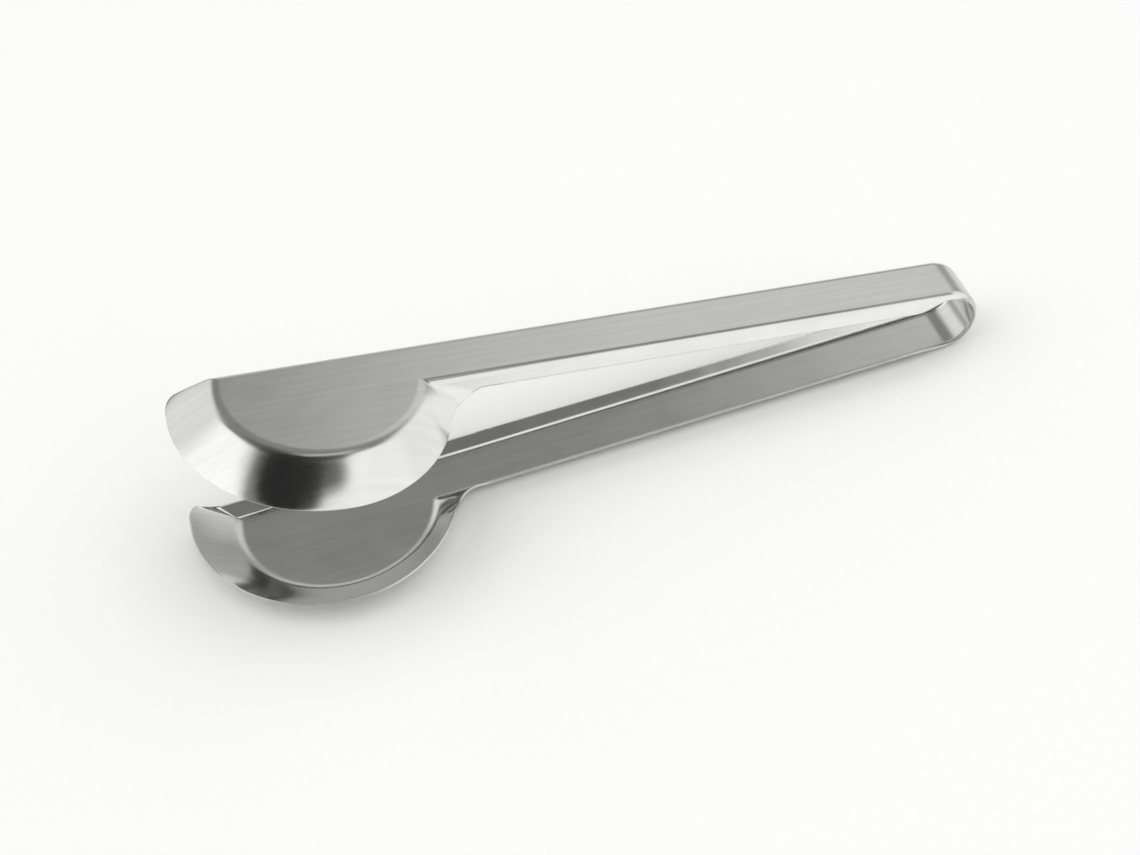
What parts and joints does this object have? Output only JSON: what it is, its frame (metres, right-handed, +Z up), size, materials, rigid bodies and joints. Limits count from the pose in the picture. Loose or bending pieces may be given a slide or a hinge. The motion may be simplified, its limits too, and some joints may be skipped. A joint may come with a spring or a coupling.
{
  "type": "spring tongs",
  "caption": "Long kitchen tongs pressed from steel sheet: a springy bow joins channel arms with dished half-moon blades that close on food or jars.",
  "frame": {"origin": "on the flat underside of the lower arm, on the arm's centreline, 114 mm from the centre of the bow", "axes": "+X along the lower arm towards the bow, +Z up to the upper arm, -Y to the side where the blades bulge"},
  "size_m": [0.2502, 0.0553, 0.06],
  "materials": {
    "bow_steel": "satin, polished at the folds",
    "arm_steel": "satin with a lengthwise grain",
    "blade_steel": "satin flat, bright pressed rim"
  },
  "bodies": {
    "lower": {"lower_arm": "arm_steel", "lower_blade": "blade_steel", "spring_bow": "bow_steel"},
    "upper": {"upper_arm": "arm_steel", "upper_blade": "blade_steel"}
  },
  "joints": [
    {"name": "squeeze", "type": "hinge", "parent": "lower", "child": "upper", "pos_m": [0.114, 0, 0.01103], "axis": [0, -1, 0], "range_deg": [-6, 10.4], "stiffness_Nm_per_rad": 4, "deforming": ["spring_bow"]}
  ]
}
